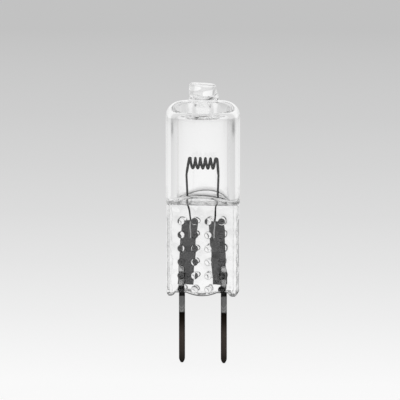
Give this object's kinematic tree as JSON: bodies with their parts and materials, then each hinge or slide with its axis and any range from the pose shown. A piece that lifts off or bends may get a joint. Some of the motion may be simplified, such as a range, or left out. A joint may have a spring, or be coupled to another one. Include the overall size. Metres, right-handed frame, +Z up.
{
  "type": "halogen bulb",
  "caption": "Clear quartz halogen capsule bulb with a transverse coiled filament, a flat dotted press seal and straight bare pins.",
  "frame": {"origin": "middle of the base, halfway between the pins in the plane of the seal's lower edge", "axes": "+Z up through the exhaust tip, X along the row of pins, -Y out of the seal's front face"},
  "size_m": [0.011, 0.011, 0.0421],
  "materials": {
    "fused_quartz": "clear, fire-polished",
    "tungsten": "drawn wire, dark satin",
    "molybdenum_foil": "rolled foil, satin",
    "molybdenum_pin": "drawn rod, satin near the seal, darkly oxidised below"
  },
  "bodies": {
    "root": {"quartz_envelope": "fused_quartz", "filament": "tungsten", "foil_left": "molybdenum_foil", "foil_right": "molybdenum_foil", "pin_left": "molybdenum_pin", "pin_right": "molybdenum_pin"}
  },
  "joints": []
}
